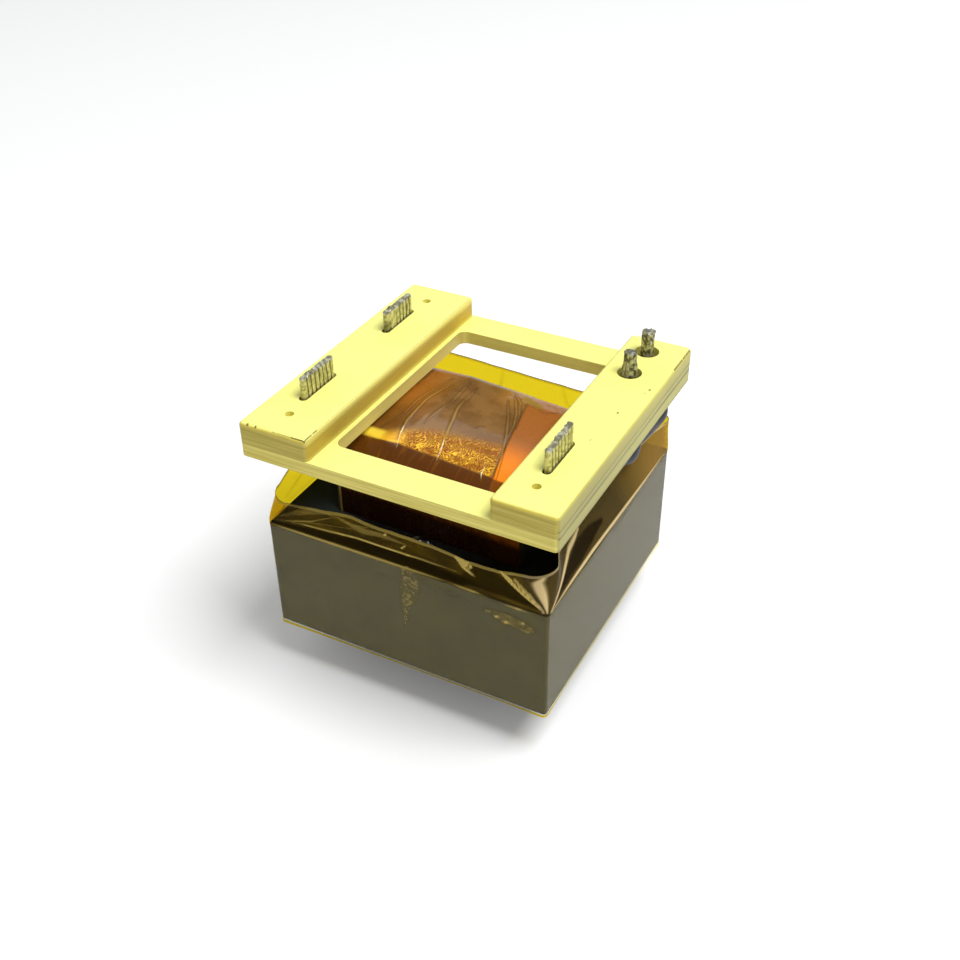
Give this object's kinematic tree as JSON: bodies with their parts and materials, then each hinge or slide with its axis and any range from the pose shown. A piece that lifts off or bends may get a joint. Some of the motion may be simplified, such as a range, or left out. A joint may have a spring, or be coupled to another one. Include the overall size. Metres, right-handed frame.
{
  "type": "high-frequency transformer",
  "caption": "Ferrite-cored high-frequency power transformer with a taped winding, a film band round the core, and a laminate pin board carrying flat and round solder terminals.",
  "frame": {"origin": "on the table under the middle of the core, with the coil's underside resting at z = 0", "axes": "+X along the coil's axis and the length between the two bars, +Z towards the pins, -Y the side with the drop of glue"},
  "size_m": [0.0706, 0.0694, 0.07],
  "materials": {
    "ferrite": "matte sintered ferrite",
    "former": "moulded",
    "copper": "enamelled copper wire",
    "insulation": "polyester tape",
    "wrap": "glossy polyimide tape over wire",
    "film": "clear amber polyimide film",
    "glue": "cured glossy glue",
    "laminate": "epoxy glass laminate, sawn edges",
    "tinned": "tinned stranded wire",
    "sleeving": "dark insulating sleeve"
  },
  "bodies": {
    "root": {"core_half_left": "ferrite", "core_half_right": "ferrite", "coil_former": "former", "primary_inner": "copper", "insulation_inner": "insulation", "secondary_inner": "copper", "insulation_middle": "insulation", "secondary_outer": "copper", "insulation_outer": "insulation", "primary_outer": "copper", "outer_wrap": "wrap", "core_band": "film", "joint_glue": "glue", "board_frame": "laminate", "bar_left": "laminate", "bar_right": "laminate", "comb_left_front": "tinned", "comb_left_back": "tinned", "comb_right_front": "tinned", "bundle_right_front": "tinned", "bundle_right_back": "tinned", "lead_left_front": "sleeving", "lead_left_back": "sleeving", "lead_right_front": "sleeving", "lead_bundle_front": "sleeving", "lead_bundle_back": "sleeving"}
  },
  "joints": []
}
